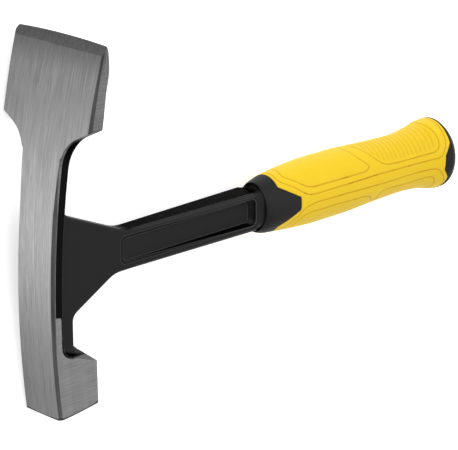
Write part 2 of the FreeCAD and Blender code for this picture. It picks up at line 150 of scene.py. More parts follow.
# ---- meshes ------------------------------------------------------------------------------
def tube_mesh(name, rings, values, caps):
    """A closed mesh from rings of points; values holds one painted-shade value per point."""
    count, around = rings.shape[:2]
    points = place_all(rings.reshape(-1, 3))
    i, j = np.meshgrid(np.arange(count - 1 if caps else count), np.arange(around), indexing="ij")
    k, n = (j + 1) % around, (i + 1) % count
    quads = np.stack([i * around + j, i * around + k, n * around + k, n * around + j], axis=-1)
    faces = [tuple(q) for q in quads.reshape(-1, 4).tolist()]
    verts = points.tolist()
    shades = values.reshape(-1).tolist()
    if caps:
        for ring, flip in ((0, True), (count - 1, False)):
            centre = len(verts)
            verts.append(points[ring * around:(ring + 1) * around].mean(axis=0).tolist())
            shades.append(0.0)
            for a in range(around):
                b = (a + 1) % around
                one, two = ring * around + a, ring * around + b
                faces.append((centre, two, one) if flip else (centre, one, two))
    mesh = bpy.data.meshes.new(name)
    mesh.from_pydata(verts, [], faces)
    mesh.update()
    field = mesh.attributes.new("groove_and_painted_shade", "FLOAT", "POINT")
    field.data.foreach_set("value", np.array(shades, dtype=np.float32))
    mesh.shade_smooth()
    piece = bpy.data.objects.new(name, mesh)
    bpy.context.scene.collection.objects.link(piece)
    return piece


# ---- grooves and ribs of the sleeve ------------------------------------------------------
# Groove lines are drawn on the unrolled grip: place along the handle in mm, and degrees
# round from the top.  They are the same on both sides.
DEGREE = 0.262                # length of one degree round the grip, mm
PALM_PANEL = [(154.0, -6), (154.0, 11), (153.1, 30), (163.9, 62.5), (168.0, 67.5), (206.5, 69.5),
              (210.3, 63), (209.0, 57), (204.2, 40), (200.1, 10), (199.7, -6)]
LONG_PANEL = [(149.5, -6), (149.5, 37), (163.7, 77.5), (168.0, 80.5), (216.0, 81), (261.5, 85.5),
              (263.8, 80), (266.9, 62), (267.6, 36), (267.4, -6)]
RIB_PANEL = [(206.0, -6), (206.6, 2), (210.2, 23), (214.1, 44), (219.1, 61), (222.2, 67), (227.0, 69.5),
             (243.2, 71), (260.2, 73), (262.8, 60), (262.6, 40), (261.0, 15), (260.5, -6)]
SIDE_LINE = [(150.0, 152), (156.9, 121), (162.8, 101), (170.1, 96), (193.1, 97), (224.2, 102),
             (255.8, 103), (261.5, 105), (267.5, 126), (267.8, 150), (267.8, 186)]
FINGER_PANEL = [(155.0, 186), (156.0, 150), (160.7, 121), (166.4, 113), (186.9, 113),
                (208.0, 116.5), (213.0, 126), (215.5, 150), (216.0, 186)]
HEEL_PANEL = [(221.0, 186), (218.5, 150), (218.0, 126), (222.0, 117.5), (242.0, 122.5),
              (256.5, 119), (260.2, 122), (262.5, 140), (262.0, 186)]
GROOVE_DEPTH = 0.34
GROOVE_WIDTH = 0.24
GROOVE_REACH = 0.19           # mesh points this near a groove line are moved onto it
CORNER_CUTS = (1.5, 0.5)      # a path's corners are cut back by these lengths, one after the other
LONGEST_CUT = 0.3             # and by no more than this share of a side
PALM_RISE = 0.10              # the palm panel stands this much proud
PALM_EDGE = (0.3, 1.5)        # its slope: distance from the groove, width
RIB_PITCH = 3.05
RIB_DEPTH = 0.26
RIB_START = 210.0
RIB_EDGE = (0.9, 1.8)         # the ribs run out beside their groove: distance, width
RIB_SHARPNESS = 1.3
HATCH_PITCH = 2.4
HATCH_DEPTH = 0.10
HATCH_EDGE = (0.9, 1.2)
VALLEY_SHADE = 0.34           # painted shade: how dark a rib's valley is coloured beside a groove
# painted shade in the hatching's valleys
HATCH_SHADE = 0.16


def softened(path):
    """A path with its corners cut off, twice, so that it turns gently."""
    points = np.array(path, dtype=float)
    for cut in CORNER_CUTS:
        a, b = points[:-1], points[1:]
        length = np.hypot(b[:, 0] - a[:, 0], (b[:, 1] - a[:, 1]) * DEGREE)
        share = np.minimum(cut / length, LONGEST_CUT)[:, None]
        inner = np.stack([a + (b - a) * share, b - (b - a) * share], axis=1).reshape(-1, 2)
        points = np.vstack([points[:1], inner[1:-1], points[-1:]])
    return points


def nearest_on(path, x, turn):
    """Distance in mm from points of the unrolled grip to a path, and the nearest place on it."""
    best = np.full(x.shape, np.inf)
    near_x, near_turn = x.copy(), turn.copy()
    v = turn * DEGREE
    for (x0, t0), (x1, t1) in zip(path[:-1], path[1:]):
        v0, v1 = t0 * DEGREE, t1 * DEGREE
        dx, dv = x1 - x0, v1 - v0
        t = np.clip(((x - x0) * dx + (v - v0) * dv) / (dx * dx + dv * dv), 0, 1)
        px, pv = x0 + t * dx, v0 + t * dv
        distance = np.hypot(x - px, v - pv)
        closer = distance < best
        best = np.where(closer, distance, best)
        near_x = np.where(closer, px, near_x)
        near_turn = np.where(closer, pv / DEGREE, near_turn)
    return best, near_x, near_turn


def inside(path, x, turn):
    """Which points of the unrolled grip lie inside a path, closed on itself."""
    result = np.zeros(x.shape, dtype=bool)
    loop = np.vstack([path, path[:1]])
    for (x0, t0), (x1, t1) in zip(loop[:-1], loop[1:]):
        if t0 == t1:
            continue
        crosses = ((t0 <= turn) & (turn < t1)) | ((t1 <= turn) & (turn < t0))
        at = x0 + (turn - t0) * (x1 - x0) / (t1 - t0)
        result ^= crosses & (x < at)
    return result


def step_up(value, width):
    """0 below zero, 1 above width, smooth between."""
    t = np.clip(value / width, 0, 1)
    return t * t * (3 - 2 * t)


def panel(name, x, degrees, far, edge):
    """How much a point belongs to a panel: 1 well inside its groove, 0 at the groove and outside."""
    begins, width = edge
    return inside(PATHS[name], x, degrees) * step_up(far[name] - begins, width)


def wave(phase):
    """1 at whole numbers, 0 half-way between them, smooth."""
    return 0.5 + 0.5 * np.cos(2 * math.pi * phase)


PATHS = {
    "palm": softened(PALM_PANEL),
    "long": softened(LONG_PANEL),
    "rib": softened(RIB_PANEL),
    "side": softened(SIDE_LINE),
    "finger": softened(FINGER_PANEL),
    "heel": softened(HEEL_PANEL),
}


def drawn_to_grooves(x, turn):
    """Move points that lie near a groove line onto it, so that the line is crisp."""
    mirror = turn > math.pi
    degrees = np.degrees(np.where(mirror, 2 * math.pi - turn, turn))
    best = np.full(x.shape, GROOVE_REACH)
    for path in PATHS.values():
        distance, near_x, near_turn = nearest_on(path, x, degrees)
        closer = distance < best
        best = np.where(closer, distance, best)
        x = np.where(closer, near_x, x)
        degrees = np.where(closer, near_turn, degrees)
    back = np.radians(degrees)
    return x, np.where(mirror, 2 * math.pi - back, back)


def sleeve_relief(x, turn):
    """Rise of the sleeve's surface, and how much painted shade each point gets: in a groove, a rib's
    valley or the hatching.
    """
    degrees = np.degrees(np.where(turn > math.pi, 2 * math.pi - turn, turn))
    far = {name: nearest_on(path, x, degrees)[0] for name, path in PATHS.items()}
    groove_and_painted_shade = np.exp(-(np.minimum.reduce(list(far.values())) / GROOVE_WIDTH) ** 2)
    ribs = panel("rib", x, degrees, far, RIB_EDGE)
    valley = ribs * wave((x - RIB_START) / RIB_PITCH) ** RIB_SHARPNESS
    under = sum(panel(name, x, degrees, far, HATCH_EDGE) for name in ("finger", "heel"))
    hatch = under * wave((x + (degrees - 180) * DEGREE) / HATCH_PITCH) ** 2
    rise = PALM_RISE * panel("palm", x, degrees, far, PALM_EDGE)
    rise -= GROOVE_DEPTH * groove_and_painted_shade + RIB_DEPTH * valley + HATCH_DEPTH * hatch
    # The second value is painted shade: grooves, rib valleys and hatching are coloured darker.
    return rise, np.clip(groove_and_painted_shade + VALLEY_SHADE * valley + HATCH_SHADE * hatch, 0, 1)


SLEEVE_AROUND, SLEEVE_ALONG, SLEEVE_INSIDE = 296, 304, 12   # mesh points of the sleeve
EDGE_ROWS = 2                 # rows at each end of the sleeve that stay on the seam's line
EDGE_DROP, EDGE_ROLL = 0.35, 0.7   # the sleeve's edges are rolled down: how far, over what width
SEAM_SHADE, SEAM_WIDTH = 0.8, 0.5  # painted shade along them, where the edges roll into the seam: how dark, how wide


def make_sleeve():
    """The yellow sleeve: a skin with its grooves, an inner wall, and rolled edges."""
    turns = np.linspace(0, 2 * math.pi, SLEEVE_AROUND, endpoint=False)
    front = edge_places(front_edge, COLLAR_SEAM, turns)
    back = edge_places(back_edge, BUTT_SEAM, turns)
    x = front + (back - front) * np.linspace(0, 1, SLEEVE_ALONG)[:, None]
    turn = np.broadcast_to(turns, x.shape).copy()
    rows = slice(EDGE_ROWS, SLEEVE_ALONG - EDGE_ROWS)
    x[rows], turn[rows] = drawn_to_grooves(x[rows], turn[rows])
    rise, groove_and_painted_shade = sleeve_relief(x, turn)
    from_edge = np.minimum(x - front, back - x)
    rise -= EDGE_DROP * (1 - step_up(from_edge, EDGE_ROLL))
    inner = back + (front - back) * np.linspace(0, 1, SLEEVE_INSIDE)[1:-1, None]
    rings = [
        grip_point(x, turn, rise),
        grip_point(back[None], turns[None], np.full((1, SLEEVE_AROUND), -SEAM_STEP)),
        grip_point(back[None], turns[None], np.full((1, SLEEVE_AROUND), -SLEEVE_WALL)),
        grip_point(inner, np.broadcast_to(turns, inner.shape), -SLEEVE_WALL),
        grip_point(front[None], turns[None], np.full((1, SLEEVE_AROUND), -SLEEVE_WALL)),
        grip_point(front[None], turns[None], np.full((1, SLEEVE_AROUND), -SEAM_STEP)),
    ]
    shades = np.zeros((sum(len(ring) for ring in rings), SLEEVE_AROUND))
    # Painted shade: the grooves and the strip beside each seam are coloured darker.
    shades[:SLEEVE_ALONG] = np.maximum(groove_and_painted_shade, SEAM_SHADE * (1 - step_up(from_edge, SEAM_WIDTH)))
    return tube_mesh("yellow_sleeve", np.vstack(rings), shades, caps=False)


CORE_AROUND = 220             # mesh points round the core
LIP_ROWS, COLLAR_ROWS, HIDDEN_ROWS, BUTT_ROWS, DOME_ROWS = 8, 44, 30, 12, 30
LIP = 0.7                     # rounding of the collar's lip
PAST_LIP = 0.03               # the collar's rows begin this share of its length behind the lip
# Inside the collar's mouth, coloured near black with painted shade: how far in along the shank, and the
# rise from the grip's surface.
MOUTH = ((2.6, -6.0), (2.6, -3.0), (1.4, -1.7))
BUTT_DOME = 272.5             # the butt's dome begins here


def make_core():
    """The black core: collar and butt at full size, thinner where the sleeve covers it."""
    turns = np.linspace(0, 2 * math.pi, CORE_AROUND, endpoint=False)
    front = edge_places(front_edge, COLLAR_SEAM, turns) - COVER_GAP
    back = edge_places(back_edge, BUTT_SEAM, turns) + COVER_GAP
    under = -SLEEVE_WALL - COVER_GAP
    start, last = PROFILE[0, 0], PROFILE[-1, 0]
    rings, dark = [], []

    def ring(x, rise, shade=0.0):
        x = np.broadcast_to(x, turns.shape).astype(float)
        rings.append(grip_point(x, turns, rise))
        dark.append(np.full(CORE_AROUND, shade))

    # The mouth, the lip and the seams carry painted shade: 1 is darkest.
    for depth, rise in MOUTH:
        ring(start + depth, rise, 1.0)
    for k in range(LIP_ROWS + 1):
        a = k / LIP_ROWS * math.pi / 2
        ring(start + LIP * (1 - math.sin(a)), -LIP * math.cos(a), 1 - k / LIP_ROWS)
    for t in np.linspace(PAST_LIP, 1, COLLAR_ROWS):
        ring(start * (1 - t) + front * t, 0.0)
    ring(front, -SEAM_STEP, 1.0)
    ring(front, under, 1.0)
    for t in np.linspace(0, 1, HIDDEN_ROWS)[1:-1]:
        ring(front * (1 - t) + back * t, under)
    ring(back, under, 1.0)
    ring(back, -SEAM_STEP, 1.0)
    for t in np.linspace(0, 1, BUTT_ROWS):
        ring(back * (1 - t) + BUTT_DOME * t, 0.0)
    for k in range(1, DOME_ROWS):
        ring(BUTT_DOME + (last - BUTT_DOME) * math.sin(k / DOME_ROWS * math.pi / 2), 0.0)
    return tube_mesh("black_core", np.array(rings), np.array(dark), caps=True)


# ---- materials ---------------------------------------------------------------------------
class Nodes:
    """A short way to write node materials as sums and products."""

    def __init__(self, name):
        self.material = bpy.data.materials.new(name)
        self.material.use_nodes = True
        self.tree = self.material.node_tree
        self.tree.nodes.clear()

    def node(self, kind, **settings):
        made = self.tree.nodes.new(kind)
        for key, value in settings.items():
            setattr(made, key, value)
        return made

    def feed(self, socket, value):
        if isinstance(value, bpy.types.NodeSocket):
            self.tree.links.new(value, socket)
        else:
            socket.default_value = value

    def math(self, operation, *values):
        made = self.node("ShaderNodeMath", operation=operation)
        for socket, value in zip(made.inputs, values):
            self.feed(socket, value)
        return made.outputs[0]

    def add(self, a, b):
        return self.math("ADD", a, b)

    def sub(self, a, b):
        return self.math("SUBTRACT", a, b)

    def mul(self, a, b):
        return self.math("MULTIPLY", a, b)

    def step(self, value, low, high, start=0.0, end=1.0):
        """start up to low, end beyond high, smooth between."""
        made = self.node("ShaderNodeMapRange", interpolation_type="SMOOTHSTEP")
        names = ("Value", "From Min", "From Max", "To Min", "To Max")
        for name, number in zip(names, (value, low, high, start, end)):
            self.feed(made.inputs[name], number)
        return made.outputs[0]

    def mix(self, factor, a, b):
        made = self.node("ShaderNodeMix", data_type="FLOAT")
        for socket, value in zip((made.inputs[0], made.inputs[2], made.inputs[3]), (factor, a, b)):
            self.feed(socket, value)
        return made.outputs[0]

    def mix_colour(self, factor, a, b):
        made = self.node("ShaderNodeMix", data_type="RGBA")
        for socket, value in zip((made.inputs[0], made.inputs[6], made.inputs[7]), (factor, a, b)):
            self.feed(socket, value)
        return made.outputs[2]

    def tool_space(self):
        """Position in the tool frame, in millimetres: the vector and its three parts."""
        back = tool_turn.inverted()
        shift = -(back @ (tool_origin / MM))
        position = self.node("ShaderNodeTexCoord").outputs["Object"]
        mapping = self.node("ShaderNodeMapping", vector_type="POINT")
        self.feed(mapping.inputs["Vector"], position)
        mapping.inputs["Location"].default_value = shift
        mapping.inputs["Rotation"].default_value = back.to_euler("XYZ")
        mapping.inputs["Scale"].default_value = (1 / MM,) * 3
        parts = self.node("ShaderNodeSeparateXYZ")
        self.feed(parts.inputs[0], mapping.outputs[0])
        return mapping.outputs[0], parts.outputs[0], parts.outputs[1], parts.outputs[2]

    def tool_normal(self, normal=None):
        """The surface's normal, or another one, in the tool frame, in three parts."""
        if normal is None:
            normal = self.node("ShaderNodeNewGeometry").outputs["True Normal"]
        turn = self.node("ShaderNodeMapping", vector_type="POINT")
        self.feed(turn.inputs["Vector"], normal)
        turn.inputs["Rotation"].default_value = tool_turn.inverted().to_euler("XYZ")
        parts = self.node("ShaderNodeSeparateXYZ")
        self.feed(parts.inputs[0], turn.outputs[0])
        return parts.outputs

    def stretched(self, vector, scale):
        made = self.node("ShaderNodeMapping", vector_type="POINT")
        self.feed(made.inputs["Vector"], vector)
        made.inputs["Scale"].default_value = scale
        return made.outputs[0]

    def vector(self, *parts):
        made = self.node("ShaderNodeCombineXYZ")
        for socket, value in zip(made.inputs, parts):
            self.feed(socket, value)
        return made.outputs[0]

    def noise(self, vector, scale, detail=2.0, roughness=0.5):
        made = self.node("ShaderNodeTexNoise")
        self.feed(made.inputs["Vector"], vector)
        made.inputs["Scale"].default_value = scale
        made.inputs["Detail"].default_value = detail
        made.inputs["Roughness"].default_value = roughness
        return made.outputs[0]

    def rounded_box(self, x, y, across_x, across_y, corner):
        """Distance outside a box with rounded corners; negative inside."""
        past = []
        for place_on, (low, high) in ((x, across_x), (y, across_y)):
            offset = self.math("ABSOLUTE", self.sub(place_on, (low + high) / 2))
            past.append(self.sub(offset, (high - low) / 2 - corner))
        outer = [self.math("MAXIMUM", value, 0.0) for value in past]
        squares = [self.mul(value, value) for value in outer]
        reach = self.math("SQRT", self.add(*squares))
        inner = self.math("MINIMUM", self.math("MAXIMUM", *past), 0.0)
        return self.sub(self.add(reach, inner), corner)

    def rounded_edges(self, radius):
        """A normal that turns smoothly over sharp edges, as painted edges do."""
        made = self.node("ShaderNodeBevel", samples=4)
        made.inputs["Radius"].default_value = radius
        return made.outputs[0]

    def turned_by(self, smooth_normal):
        """Where an edge is: how far a rounded normal turns from the face's own."""
        own = self.node("ShaderNodeNewGeometry").outputs["True Normal"]
        made = self.node("ShaderNodeVectorMath", operation="DOT_PRODUCT")
        self.feed(made.inputs[0], own)
        self.feed(made.inputs[1], smooth_normal)
        return self.step(made.outputs["Value"], *EDGE_TURN)

    def bump(self, height, distance, strength, normal=None):
        made = self.node("ShaderNodeBump")
        made.inputs["Strength"].default_value = strength
        made.inputs["Distance"].default_value = distance
        self.feed(made.inputs["Height"], height)
        if normal is not None:
            self.feed(made.inputs["Normal"], normal)
        return made.outputs[0]

    def shader(self, **inputs):
        made = self.node("ShaderNodeBsdfPrincipled")
        for name, value in inputs.items():
            self.feed(made.inputs[name.replace("_", " ")], value)
        output = self.node("ShaderNodeOutputMaterial")
        self.feed(output.inputs[0], made.outputs[0])
        return self.material


# ---- the head's finish -------------------------------------------------------------------
# Sizes are in millimetres, in the tool frame.  A pair says where a change begins and ends.
CROWN_RADIUS = 432.0
CROWN_VERTEX = (-0.4, -19.0)
CROWN_EDGE = (1.75, 1.6)      # bare steel ends this deep below the crown
BLADE_HEEL = 70.4
HEEL_BLEND = 0.6
BLADE_END = (29.4, 29.8)      # the blade's side faces lie past this
BLADE_BACK = (0.6, 0.45)      # faces turned further back than this stay lacquered
GROUND_FROM = 93.5            # the blade's underside is ground bright above this height
GROUND_BLEND, GROUND_WOBBLE = 0.5, 2.0
SHOULDER = (-45.1, 25.4, 0.354)    # height of the poll's inner corner, its place, slope
LACQUER_LAP = 0.4             # the lacquer comes this far over the shoulder's edge
TONGUE_X, TONGUE_Y = 4.6, -18.5    # bare steel runs up the rail in a tongue: its depth, its top
TONGUE_CORNER, TONGUE_TIP = 7.0, 3.0   # how round the tongue's foot and its tip are
POLL_BLEND, POLL_WOBBLE = (-0.1, 0.25), 0.5
PATCH_Z, PATCH_SLOPE = 19.1, 0.56      # the shoulder is bare beyond a slanting line
PATCH_BLEND, PATCH_Y = (-0.5, 0.5), (-30.0, -36.0)
WOBBLE_SCALE = 0.35           # waves in the lacquer's edge, per millimetre

CROWN_TONE = 0.385            # brightness of the bare steel on the crown
SIDE_TONE = 0.31              # and on the poll's side
BLADE_SIDE_TONE = 0.22        # and on the blade's
SIDE_BLEND = (0.0, 40.0)
FLAT_SIDE = (0.8, 0.95)       # how squarely a face looks sideways
BEVEL_TONE = 0.55             # painted shade: the bevels are coloured darker; their brightness beside the faces'
POLL_BEVEL_TONE = 1.3         # and on the poll a painted highlight instead: brighter beside the poll's faces
BEVEL_BLEND = (-50.0, -10.0)
BEVEL_FACING = (0.80, 0.92)   # a face that looks less squarely than this is a bevel
TIP_TONE = 0.58               # painted shade: the blade's tip is coloured darker, its brightness beside the rest of the crown
TIP_Y, TIP_DEPTH = (89.4, 107.4), (2.6, 1.6)
STRIKE_CENTRE, STRIKE_LEAN, FACE_CROWN = (14.7, -69.0), -0.1165, 87.0
RIM_TONE = 0.35               # painted shade: the striking face's rim is coloured dark beside the sides
RIM_DEPTH = (0.75, 1.05)
END_TONE = 0.51               # painted shade: the crown's ends are coloured darker than its middle
BRIGHTEST_Y, BRIGHT_SPREAD = 22.0, 48.0
COOLNESS = 1.005              # a trace more blue than red

# Brush marks: how fine they are along each axis, their detail and their roughness.
CROWN_BRUSH = ((1.6, 0.05, 1.6), 3.0, 0.8)
BROAD_BRUSH = ((0.35, 0.010, 0.35), 3.0, 0.6)
SIDE_BRUSH = ((0.07, 1.7, 1.7), 4.0, 0.7)
CROWN_CONTRAST, SIDE_CONTRAST, BROAD_CONTRAST = 0.52, 0.30, 0.12

SATIN = ((0.0130, 0.0130, 0.0133, 1), (0.0185, 0.0185, 0.0188, 1))
SPECKLE = (2.2, 4.0, 0.6)     # the lacquer's texture: fineness, detail, roughness
PANEL_RIM_HIGHLIGHT = (0.040, 0.040, 0.040, 1)      # painted highlight on the lip of the sunk panel
PANEL_CREASE_SHADE = (0.001, 0.001, 0.001, 1)   # and painted shade at the foot of its wall
RIM_BAND, RIM_STRENGTH = ((0.7, 0.4), (-0.1, 0.2)), 0.8   # distances outside the panel's outline, of the painted highlight
# and of the painted shade in the crease
CREASE_BAND, CREASE_STRENGTH = ((0.1, -0.2), (-1.1, -0.7)), 0.9
# colour of the glossy faces, darker: painted shade
GLOSS_PAINTED_SHADE = (0.010, 0.010, 0.010, 1)
EDGE_PAINTED_HIGHLIGHT = (0.085, 0.085, 0.085, 1)     # painted highlight: edges are coloured this bright
EDGE_STRENGTH = 0.8
RAIL_SIDE = (12.0, 12.4)      # the rail's side lies past this
NARROW_FACE = (0.75, 0.35)    # faces that look less sideways than this are glossy and get painted shade
RECESS_X, RECESS_Y, RECESS_CORNER = (48.2, 133.9), (-6.4, 7.1), 3.0
EDGE_ROUNDING = 0.0006        # metres
EDGE_TURN = (0.990, 0.95)     # cosines between which an edge begins to show
EDGE_LINES = 3                # painted highlight lines round each rounded edge of the shank, in place of fine steps there
LINE_BAND = (0.55, 0.95)
LINES_Y = (7.2, 7.7)          # they lie outside this, above and below the panel
LINES_FROM, LINES_TO = (52.0, 60.0), (134.5, 132.0)
LINES_START, LINES_END = (0.05, 0.15), (1.5, 1.35)   # in radians round the edge
LINE_FAINTEST, LINE_SPECKLE = 0.25, 0.6   # the lines are broken up by the speckle
TEXTURE_DEPTH = 0.00003       # metres, of the brush marks and of the lacquer's speckle


class HeadNodes(Nodes):
    """Node materials of the head, which also know where on the head a point is."""

    def __init__(self, name):
        super().__init__(name)
        self.where, self.x, self.y, self.z = self.tool_space()
        facing = self.tool_normal()[:3]
        self.backward = facing[0]     # 1 where a face looks away from the crown
        self.squareness = [self.math("ABSOLUTE", part) for part in facing]
        self.sideways = self.squareness[2]
        self.side_z = self.math("ABSOLUTE", self.z)
        x0, y0 = CROWN_VERTEX
        rise = self.sub(self.y, y0)
        root = self.math("SQRT", self.sub(CROWN_RADIUS ** 2, self.mul(rise, rise)))
        self.depth = self.add(self.sub(self.x, x0 + CROWN_RADIUS), root)

    def between(self, value, first, second):
        """1 where the value is past both changes, smooth at each of them."""
        return self.mul(self.step(value, *first), self.step(value, *second))

    def brushed(self, where, brush):
        fineness, detail, roughness = brush
        return self.noise(self.stretched(where, fineness), 1.0, detail, roughness)


def bare_area(n):
    """Where the steel is bare: 1 on the crown, the poll, the blade's sides and its ground tip."""
    wobble = n.sub(n.noise(n.where, WOBBLE_SCALE, 3.0), 0.5)
    crown = n.step(n.depth, *CROWN_EDGE)
    blade_side = n.mul(n.step(n.side_z, *BLADE_END), n.step(n.y, BLADE_HEEL - HEEL_BLEND, BLADE_HEEL))
    blade_side = n.mul(blade_side, n.step(n.backward, *BLADE_BACK))
    ground = n.add(n.y, n.mul(wobble, GROUND_WOBBLE))
    ground = n.step(ground, GROUND_FROM - GROUND_BLEND, GROUND_FROM + GROUND_BLEND)
    shoulder_y, inner_x, slope = SHOULDER
    shoulder = n.add(n.mul(n.sub(inner_x, n.x), slope), shoulder_y - LACQUER_LAP)
    poll = n.math("SMOOTH_MAX", n.sub(TONGUE_X, n.x), n.sub(shoulder, n.y), TONGUE_CORNER)
    poll = n.math("SMOOTH_MIN", poll, n.sub(TONGUE_Y, n.y), TONGUE_TIP)
    poll = n.step(n.add(poll, n.mul(wobble, POLL_WOBBLE)), *POLL_BLEND)
    patch = n.add(n.sub(n.side_z, PATCH_Z), n.mul(n.x, PATCH_SLOPE))
    patch = n.mul(n.step(n.add(patch, wobble), *PATCH_BLEND), n.step(n.y, *PATCH_Y))
    bare = crown
    for area in (blade_side, ground, poll, patch):
        bare = n.math("MAXIMUM", bare, area)
    return bare


def brushed_steel(n):
    """Colour and grain of the bare steel: brushed along the crown, and across the sides."""
    flat_side = n.step(n.sideways, *FLAT_SIDE)
    unbent = n.vector(n.depth, n.y, n.z)
    grain = n.mix(flat_side, n.brushed(unbent, CROWN_BRUSH), n.brushed(n.where, SIDE_BRUSH))
    streaks = n.mul(n.sub(grain, 0.5), n.mix(flat_side, CROWN_CONTRAST, SIDE_CONTRAST))
    broad = n.mul(n.sub(n.brushed(unbent, BROAD_BRUSH), 0.5), BROAD_CONTRAST)
    side_tone = n.step(n.y, *SIDE_BLEND, SIDE_TONE, BLADE_SIDE_TONE)
    tone = n.mix(flat_side, CROWN_TONE, side_tone)
    value = n.add(tone, n.add(streaks, broad))

    # Painted shade: the crown's colour is brightest at BRIGHTEST_Y and darker towards both ends.
    from_middle = n.mul(n.sub(n.y, BRIGHTEST_Y), 1 / BRIGHT_SPREAD)
    middle = n.math("EXPONENT", n.mul(n.mul(from_middle, from_middle), -1.0))
    painted_end_shade = n.add(n.mul(middle, 1 - END_TONE), END_TONE)
    value = n.mul(value, n.mix(flat_side, painted_end_shade, 1.0))
    # Painted shade on the blade's tip.
    tip = n.mul(n.step(n.y, *TIP_Y), n.step(n.depth, *TIP_DEPTH))
    value = n.mul(value, n.mix(tip, 1.0, TIP_TONE))
    # Painted shade on the bevels, and a painted highlight on the poll's bevels.
    squarest = n.math("MAXIMUM", n.sideways, n.math("MAXIMUM", *n.squareness[:2]))
    painted_bevel_shade_and_highlight = n.step(n.y, *BEVEL_BLEND, POLL_BEVEL_TONE, BEVEL_TONE)
    value = n.mul(value, n.step(squarest, *BEVEL_FACING, painted_bevel_shade_and_highlight, 1.0))

    # Painted shade round the striking face's rim.
    face_x, face_y = STRIKE_CENTRE
    off_x = n.sub(n.x, face_x)
    dome = n.mul(n.add(n.mul(off_x, off_x), n.mul(n.z, n.z)), 1 / (2 * FACE_CROWN))
    from_face = n.sub(n.add(n.sub(n.y, face_y), n.mul(off_x, STRIKE_LEAN)), dome)
    value = n.mul(value, n.step(from_face, *RIM_DEPTH, RIM_TONE, 1.0))
    colour = n.node("ShaderNodeCombineColor")
    for socket, tint in zip(colour.inputs, (1.0, 1.0, COOLNESS)):
        n.feed(socket, n.mul(value, tint))
    return colour.outputs[0], grain


def satin_lacquer(n, speckle):
    """Colour of the satin lacquer, with a painted highlight on the sunk panel's rim and painted shade
    in its crease.
    """
    outline = n.rounded_box(n.x, n.y, RECESS_X, RECESS_Y, RECESS_CORNER)
    painted_rim_highlight = n.mul(n.between(outline, *RIM_BAND), RIM_STRENGTH)
    painted_crease_shade = n.mul(n.between(outline, *CREASE_BAND), CREASE_STRENGTH)
    satin = n.mix_colour(painted_rim_highlight, n.mix_colour(speckle, *SATIN), PANEL_RIM_HIGHLIGHT)
    return n.mix_colour(painted_crease_shade, satin, PANEL_CREASE_SHADE)


def painted_edge_highlights(n, smooth_normal, speckle):
    """How much painted highlight the lacquer's edges get, with painted highlight lines along the
    shank's edges.
    """
    turn = n.math("ARCCOSINE", n.math("ABSOLUTE", n.tool_normal(smooth_normal)[2]))
    lines = n.add(0.5, n.mul(n.math("COSINE", n.mul(turn, EDGE_LINES * 4)), -0.5))
    lines = n.mul(n.step(lines, *LINE_BAND), n.between(turn, LINES_START, LINES_END))
    on_shank = n.mul(n.step(n.math("ABSOLUTE", n.y), *LINES_Y), n.between(n.x, LINES_FROM, LINES_TO))
    strength = n.add(LINE_FAINTEST, n.mul(speckle, LINE_SPECKLE))
    edge = n.mul(n.turned_by(smooth_normal), EDGE_STRENGTH)
    return n.math("MAXIMUM", edge, n.mul(n.mul(lines, on_shank), strength))


def steel():
    """Brushed bare steel on crown, blade and poll; black lacquer elsewhere."""
    n = HeadNodes("forged_steel_finish")
    bare = bare_area(n)
    steel_colour, grain = brushed_steel(n)
    speckle = n.noise(n.where, *SPECKLE)
    smooth_normal = n.rounded_edges(EDGE_ROUNDING)
    painted_highlight = painted_edge_highlights(n, smooth_normal, speckle)
    # The rail's side and the narrow faces are glossier than the flats, and coloured darker with painted
    # shade.
    gloss_and_painted_shade = n.math("MAXIMUM", n.step(n.side_z, *RAIL_SIDE), n.step(n.sideways, *NARROW_FACE))
    paint = n.mix_colour(gloss_and_painted_shade, satin_lacquer(n, speckle), GLOSS_PAINTED_SHADE)
    # Painted highlight on the edges and along the shank.
    paint = n.mix_colour(painted_highlight, paint, EDGE_PAINTED_HIGHLIGHT)
    rough_paint = n.mix(gloss_and_painted_shade, n.add(0.40, n.mul(speckle, 0.10)), 0.30)
    rough_steel = n.add(0.34, n.mul(grain, 0.16))
    height = n.mix(bare, n.mul(speckle, 0.5), grain)
    return n.shader(
        Base_Color=n.mix_colour(bare, paint, steel_colour),
        Metallic=n.math("MAXIMUM", bare, n.mul(gloss_and_painted_shade, n.sub(1.0, painted_highlight))),
        Roughness=n.mix(bare, rough_paint, rough_steel),
        Specular_IOR_Level=0.20,
        Specular_Tint=(0.4, 0.4, 0.4, 1),
        Normal=n.bump(height, TEXTURE_DEPTH, 0.5, smooth_normal),
    )


# ---- the grip's rubbers and the floor ----------------------------------------------------
YELLOW = ((0.89, 0.600, 0.012, 1), (0.92, 0.640, 0.017, 1))
YELLOW_GRAIN = (0.85, 0.530, 0.008, 1)
# colour of the painted shade in the grooves
YELLOW_GROOVE_SHADE = (0.55, 0.235, 0.003, 1)
BLACK = ((0.0090, 0.0090, 0.0092, 1), (0.0120, 0.0120, 0.0123, 1))
# colour of the painted shade in the core's seams and mouth
BLACK_CREASE_SHADE = (0.001, 0.001, 0.001, 1)
WHITE = ((0.72, 0.72, 0.72, 1), (0.74, 0.74, 0.74, 1))
FLOOR_GLOW = 0.62             # the table glows a little, so shadows stay faint


